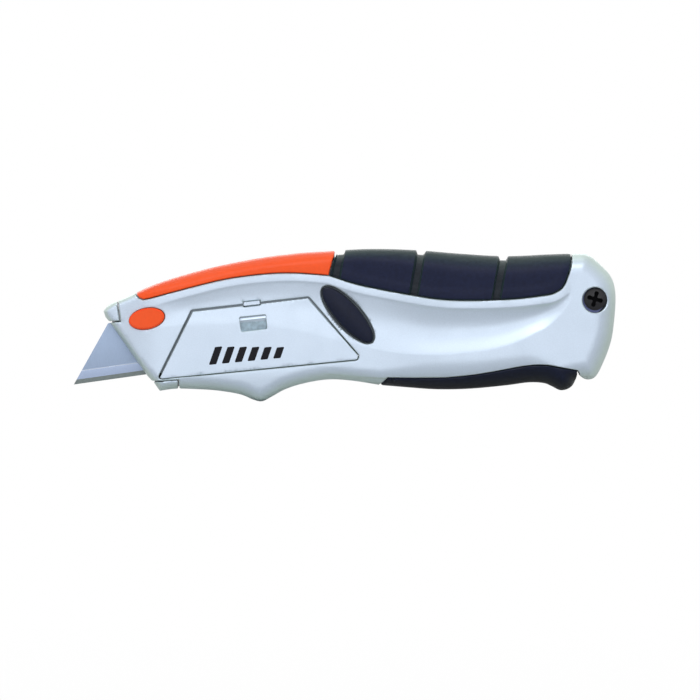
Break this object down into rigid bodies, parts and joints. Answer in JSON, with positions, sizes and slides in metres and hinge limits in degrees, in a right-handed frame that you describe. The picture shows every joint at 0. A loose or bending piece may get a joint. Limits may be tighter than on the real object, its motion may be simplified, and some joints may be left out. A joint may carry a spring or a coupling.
{
  "type": "squeeze-grip utility knife",
  "caption": "Lever-operated utility knife with a trapezoid blade, hinged magazine door, orange top trim, black grip pads and a squeeze lever.",
  "frame": {"origin": "middle of the length and width, at the height of the finger guard's lowest point", "axes": "+X from the blade tip to the tail, +Z from the finger guard to the back, -Y towards the side with the magazine door"},
  "size_m": [0.182, 0.0212, 0.0511],
  "materials": {
    "cast_silver": "satin",
    "orange_plastic": "satin",
    "grip_rubber": "matte",
    "dark_steel": "satin",
    "spring_steel": "satin",
    "black_plastic": "satin",
    "zinc_plate": "satin",
    "blade_steel": "satin",
    "grey_plastic": "matte",
    "catch_grey": "satin"
  },
  "bodies": {
    "housing": {"left_housing": "cast_silver", "right_housing": "cast_silver", "top_trim": "orange_plastic", "grip_pad": "grip_rubber", "tail_screw": "dark_steel", "lever_pin": "spring_steel", "swing_arm_pin": "spring_steel", "magazine_tray": "grey_plastic", "door_hinge_rod": "spring_steel", "release_spring": "spring_steel", "lock_spring": "spring_steel", "return_spring": "spring_steel", "spare_blade_1": "blade_steel", "spare_blade_2": "blade_steel", "spare_blade_3": "blade_steel"},
    "lever": {"squeeze_lever": "black_plastic", "lever_web": "zinc_plate"},
    "arm": {"swing_arm": "zinc_plate", "drive_pin": "spring_steel", "arm_end_pin": "spring_steel"},
    "carrier": {"blade_carrier": "zinc_plate", "blade": "blade_steel"},
    "chute": {"nose_chute": "cast_silver"},
    "release": {"release_button": "orange_plastic"},
    "lock": {"lock_button": "black_plastic", "lock_pin": "spring_steel"},
    "door": {"magazine_door": "cast_silver", "magazine_spring": "spring_steel", "catch_spring": "spring_steel"},
    "catch": {"door_catch": "catch_grey"}
  },
  "joints": [
    {"name": "lever_squeeze", "type": "hinge", "parent": "housing", "child": "lever", "pos_m": [0.00696, 0, 0.01101], "axis": [0, 1, 0], "range_deg": [0, 11.6]},
    {"name": "arm_swing", "type": "hinge", "parent": "housing", "child": "arm", "pos_m": [0.01166, 0, 0.04361], "axis": [0, -1, 0], "range_deg": [0, 68.1]},
    {"name": "carrier_slide", "type": "slide", "parent": "housing", "child": "carrier", "axis": [0.9903, 0, 0.1392], "range_m": [0, 0.0269], "deforming": ["return_spring"]},
    {"name": "chute_slide", "type": "slide", "parent": "housing", "child": "chute", "axis": [-0.9903, 0, -0.1392], "range_m": [0, 0.022]},
    {"name": "release_press", "type": "slide", "parent": "housing", "child": "release", "axis": [0, 1, 0], "range_m": [0, 0.0015], "stiffness_N_per_m": 300, "springref_m": -0.001, "deforming": ["release_spring"]},
    {"name": "lock_press", "type": "slide", "parent": "housing", "child": "lock", "axis": [0, 1, 0], "range_m": [0, 0.0015], "stiffness_N_per_m": 300, "springref_m": -0.001, "deforming": ["lock_spring"]},
    {"name": "door_open", "type": "hinge", "parent": "housing", "child": "door", "pos_m": [-0.06264, -0.0075, 0.00881], "axis": [0.9953, 0, 0.097], "range_deg": [0, 90]},
    {"name": "catch_slide", "type": "slide", "parent": "door", "child": "catch", "axis": [0.11, 0, -0.9939], "range_m": [0, 0.0012], "stiffness_N_per_m": 300, "springref_m": -0.001, "deforming": ["catch_spring"]}
  ],
  "couplings": [
    {"joint": "arm_swing", "follows": "lever_squeeze", "ratio": 5.8621},
    {"joint": "carrier_slide", "follows": "lever_squeeze", "m_per_rad": 0.13258}
  ]
}
